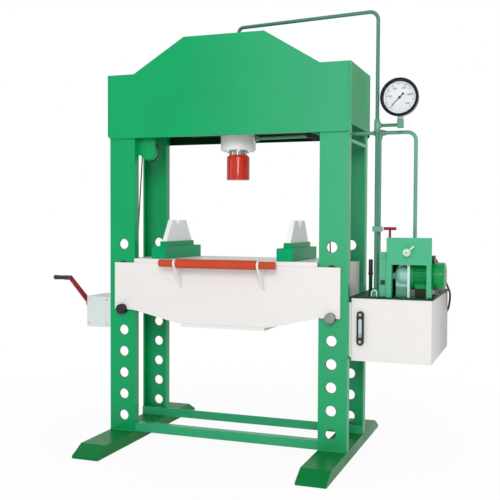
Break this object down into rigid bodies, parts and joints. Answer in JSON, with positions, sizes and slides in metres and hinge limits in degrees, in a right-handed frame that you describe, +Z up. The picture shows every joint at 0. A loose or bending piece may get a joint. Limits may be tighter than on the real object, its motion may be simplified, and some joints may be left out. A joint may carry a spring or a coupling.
{
  "type": "hydraulic press",
  "caption": "Portal hydraulic press: ram under a deep head, table on pins raised by a hand winch and rope, V-blocks, and a side tank with pump, motor, valves and gauge.",
  "frame": {"origin": "middle of the table's top face, under the ram's axis", "axes": "+Z up along the ram's axis, +X to the tank's side, +Y to the back"},
  "size_m": [1.754, 1.025, 1.9289],
  "materials": {
    "frame_green": "gloss",
    "white_paint": "gloss",
    "red_paint": "gloss",
    "dark_red_paint": "satin",
    "grey_paint": "satin",
    "bright_steel": "ground",
    "lid_green": "gloss",
    "cast": "machined",
    "wire_rope": "stranded",
    "pipe_paint": "satin",
    "black_plastic": "matt",
    "gauge_black": "gloss",
    "cream_plastic": "gloss",
    "pump_paint": "satin",
    "rotor_steel": "machined",
    "needle_black": "matt",
    "gauge_glass": "clear",
    "lead_rubber": "matt"
  },
  "bodies": {
    "frame": {"left_front_post": "frame_green", "right_front_post": "frame_green", "left_rear_post": "frame_green", "right_rear_post": "frame_green", "left_foot": "frame_green", "right_foot": "frame_green", "tie_bars": "frame_green", "head_front_plate": "frame_green", "head_rear_plate": "frame_green", "head_inner_plates": "frame_green", "rope_brackets": "frame_green", "cylinder_barrel": "frame_green", "gland_collar": "white_paint", "rope_head_run": "wire_rope", "rope_left_fall": "wire_rope", "rope_right_fall": "wire_rope", "winch_box": "grey_paint", "tank_body": "white_paint", "tank_lid": "lid_green", "level_gauge": "black_plastic", "valve_panel": "frame_green", "release_valve": "frame_green", "control_valve": "gauge_black", "pump_bell": "pump_paint", "motor_casing": "frame_green", "electric_boxes": "black_plastic", "motor_lead": "lead_rubber", "breather_cap": "black_plastic", "pressure_pipe": "pipe_paint", "return_pipe": "pipe_paint", "pipe_fittings": "pipe_paint", "gauge_case": "gauge_black", "gauge_glass": "gauge_glass"},
    "ram": {"ram_rod": "bright_steel", "ram_nose": "red_paint"},
    "table": {"table_front_plate": "white_paint", "table_rear_plate": "white_paint", "table_top_plate": "white_paint", "table_webs": "white_paint", "table_end_frames": "white_paint", "v_block_bases": "frame_green", "v_block_plates": "grey_paint", "roller_bar": "red_paint", "rope_table_run": "wire_rope"},
    "roller": {"roller_tube": "red_paint"},
    "left_table_pulley": {"left_table_pulley": "cast"},
    "right_table_pulley": {"right_table_pulley": "cast"},
    "left_head_sheave": {"left_head_sheave": "cast"},
    "right_head_sheave": {"right_head_sheave": "cast"},
    "rope_drum": {"rope_drum": "cast"},
    "crank": {"crank_shaft": "bright_steel", "crank_arm": "dark_red_paint"},
    "crank_grip": {"crank_grip": "black_plastic"},
    "left_table_pin": {"left_table_pin": "bright_steel"},
    "right_table_pin": {"right_table_pin": "bright_steel"},
    "t_handle": {"t_handle": "red_paint"},
    "control_knob": {"control_knob": "cream_plastic"},
    "motor_rotor": {"motor_rotor": "rotor_steel"},
    "gauge_needle": {"gauge_needle": "needle_black"}
  },
  "joints": [
    {"name": "ram_stroke", "type": "slide", "parent": "frame", "child": "ram", "axis": [0, 0, -1], "range_m": [0, 0.15]},
    {"name": "table_lift", "type": "slide", "parent": "frame", "child": "table", "axis": [0, 0, 1], "range_m": [0, 0.2], "deforming": ["rope_left_fall", "rope_right_fall"]},
    {"name": "roller_spin", "type": "hinge", "parent": "table", "child": "roller", "pos_m": [0, -0.267, -0.015], "axis": [1, 0, 0], "continuous": true},
    {"name": "left_pulley_spin", "type": "hinge", "parent": "table", "child": "left_table_pulley", "pos_m": [-0.447, -0.107, -0.088], "axis": [0, 1, 0], "range_deg": [-385, 0]},
    {"name": "right_pulley_spin", "type": "hinge", "parent": "table", "child": "right_table_pulley", "pos_m": [0.447, -0.107, -0.088], "axis": [0, 1, 0], "range_deg": [-385, 0]},
    {"name": "left_sheave_spin", "type": "hinge", "parent": "frame", "child": "left_head_sheave", "pos_m": [-0.535, -0.107, 0.582], "axis": [0, 1, 0], "range_deg": [-470, 0]},
    {"name": "right_sheave_spin", "type": "hinge", "parent": "frame", "child": "right_head_sheave", "pos_m": [0.394, -0.107, 0.582], "axis": [0, 1, 0], "range_deg": [-470, 0]},
    {"name": "drum_spin", "type": "hinge", "parent": "frame", "child": "rope_drum", "pos_m": [-0.6, -0.077, -0.261], "axis": [1, 0, 0], "range_deg": [0, 765]},
    {"name": "crank_turn", "type": "hinge", "parent": "frame", "child": "crank", "pos_m": [-0.7, -0.13282, -0.22044], "axis": [1, 0, 0], "range_deg": [-2755, 0]},
    {"name": "grip_spin", "type": "hinge", "parent": "crank", "child": "crank_grip", "pos_m": [-0.75, -0.29909, -0.09054], "axis": [1, 0, 0], "continuous": true},
    {"name": "left_pin_pull", "type": "slide", "parent": "frame", "child": "left_table_pin", "axis": [0, -1, 0], "range_m": [0, 0.42]},
    {"name": "right_pin_pull", "type": "slide", "parent": "frame", "child": "right_table_pin", "axis": [0, -1, 0], "range_m": [0, 0.42]},
    {"name": "release_turn", "type": "hinge", "parent": "frame", "child": "t_handle", "pos_m": [0.727, -0.101, 0.092], "axis": [0, 0, 1], "range_deg": [0, 360]},
    {"name": "control_turn", "type": "hinge", "parent": "frame", "child": "control_knob", "pos_m": [0.809, -0.15, 0.047], "axis": [0, 1, 0], "range_deg": [-30, 30]},
    {"name": "motor_spin", "type": "hinge", "parent": "frame", "child": "motor_rotor", "pos_m": [0.86, -0.06, -0.053], "axis": [1, 0, 0], "continuous": true},
    {"name": "needle_sweep", "type": "hinge", "parent": "frame", "child": "gauge_needle", "pos_m": [0.767, -0.13, 0.691], "axis": [0, 1, 0], "range_deg": [0, 265], "stiffness_Nm_per_rad": 0.001, "springref_deg": -57.3}
  ],
  "couplings": [
    {"joint": "left_pulley_spin", "follows": "table_lift", "rad_per_m": -33.333},
    {"joint": "right_pulley_spin", "follows": "table_lift", "rad_per_m": -33.333},
    {"joint": "left_sheave_spin", "follows": "table_lift", "rad_per_m": -40.816},
    {"joint": "right_sheave_spin", "follows": "table_lift", "rad_per_m": -40.816},
    {"joint": "drum_spin", "follows": "table_lift", "rad_per_m": 66.667},
    {"joint": "crank_turn", "follows": "table_lift", "rad_per_m": -240}
  ]
}
